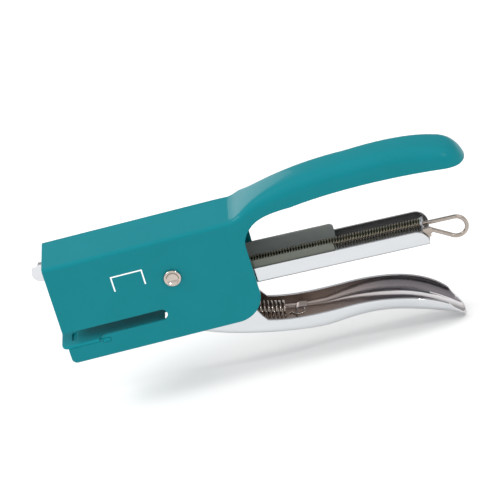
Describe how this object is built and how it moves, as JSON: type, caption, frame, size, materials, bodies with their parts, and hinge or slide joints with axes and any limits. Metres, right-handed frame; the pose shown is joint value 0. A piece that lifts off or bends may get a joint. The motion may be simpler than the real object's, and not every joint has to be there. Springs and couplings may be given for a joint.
{
  "type": "plier stapler",
  "caption": "Hand-held plier stapler: folded steel body with upper handle and anvil jaw, crossing sprung lower lever, and a tilting magazine with a pull-out rod.",
  "frame": {"origin": "under the middle of the object's box, at the height of the lower lever's tail tip", "axes": "+X from the jaw towards the handles, +Y across the stapler, +Z from the lower lever towards the upper handle; the body's flat top is level"},
  "size_m": [0.1586, 0.0236, 0.0728],
  "materials": {
    "teal_paint": "smooth satin stove enamel",
    "chrome_plate": "bright chrome plate",
    "dark_liner": "dark blued strip steel",
    "bright_steel": "bright zinc-plated strip",
    "nickel_rivet": "nickel plate",
    "nickel_wire": "nickel-plated wire",
    "spring_wire": "plated spring wire",
    "dark_spring": "oiled spring wire"
  },
  "bodies": {
    "frame": {"body_shell": "teal_paint", "anvil_plate": "teal_paint", "pivot_rivet": "nickel_rivet", "pivot_bush": "bright_steel", "spring_anchor_pin": "teal_paint", "return_spring": "spring_wire"},
    "lever": {"lower_lever": "chrome_plate"},
    "magazine": {"magazine_channel": "chrome_plate", "magazine_liner": "dark_liner", "staple_rail": "bright_steel", "front_guide_plate": "chrome_plate", "magazine_rivets": "bright_steel", "hold_down_spring": "spring_wire"},
    "driver": {"driver_blade": "bright_steel"},
    "rod": {"guide_rod": "nickel_wire", "rod_head": "nickel_wire", "end_plate": "bright_steel", "rod_latch": "nickel_wire", "pusher_spring": "dark_spring"},
    "follower": {"pusher": "bright_steel"}
  },
  "joints": [
    {"name": "lever_hinge", "type": "hinge", "parent": "frame", "child": "lever", "pos_m": [-0.0306, 0, 0.0482], "axis": [0, -1, 0], "range_deg": [0, 18.1], "stiffness_Nm_per_rad": 2, "springref_deg": -11.46, "deforming": ["return_spring", "hold_down_spring"]},
    {"name": "magazine_hinge", "type": "hinge", "parent": "frame", "child": "magazine", "pos_m": [-0.0306, 0, 0.0482], "axis": [0, -1, 0], "range_deg": [0, 8.6]},
    {"name": "driver_slide", "type": "slide", "parent": "magazine", "child": "driver", "axis": [-0.0314, 0, -0.9995], "range_m": [0, 0.0072]},
    {"name": "rod_slide", "type": "slide", "parent": "magazine", "child": "rod", "axis": [0.9995, 0, -0.0314], "range_m": [0, 0.08]},
    {"name": "pusher_slide", "type": "slide", "parent": "rod", "child": "follower", "axis": [0.9995, 0, -0.0314], "range_m": [0, 0.05], "stiffness_N_per_m": 40, "springref_m": -0.075, "deforming": ["pusher_spring"]}
  ],
  "couplings": [
    {"joint": "magazine_hinge", "follows": "lever_hinge", "ratio": 0.46961},
    {"joint": "driver_slide", "follows": "lever_hinge", "m_per_rad": 0.022475}
  ]
}
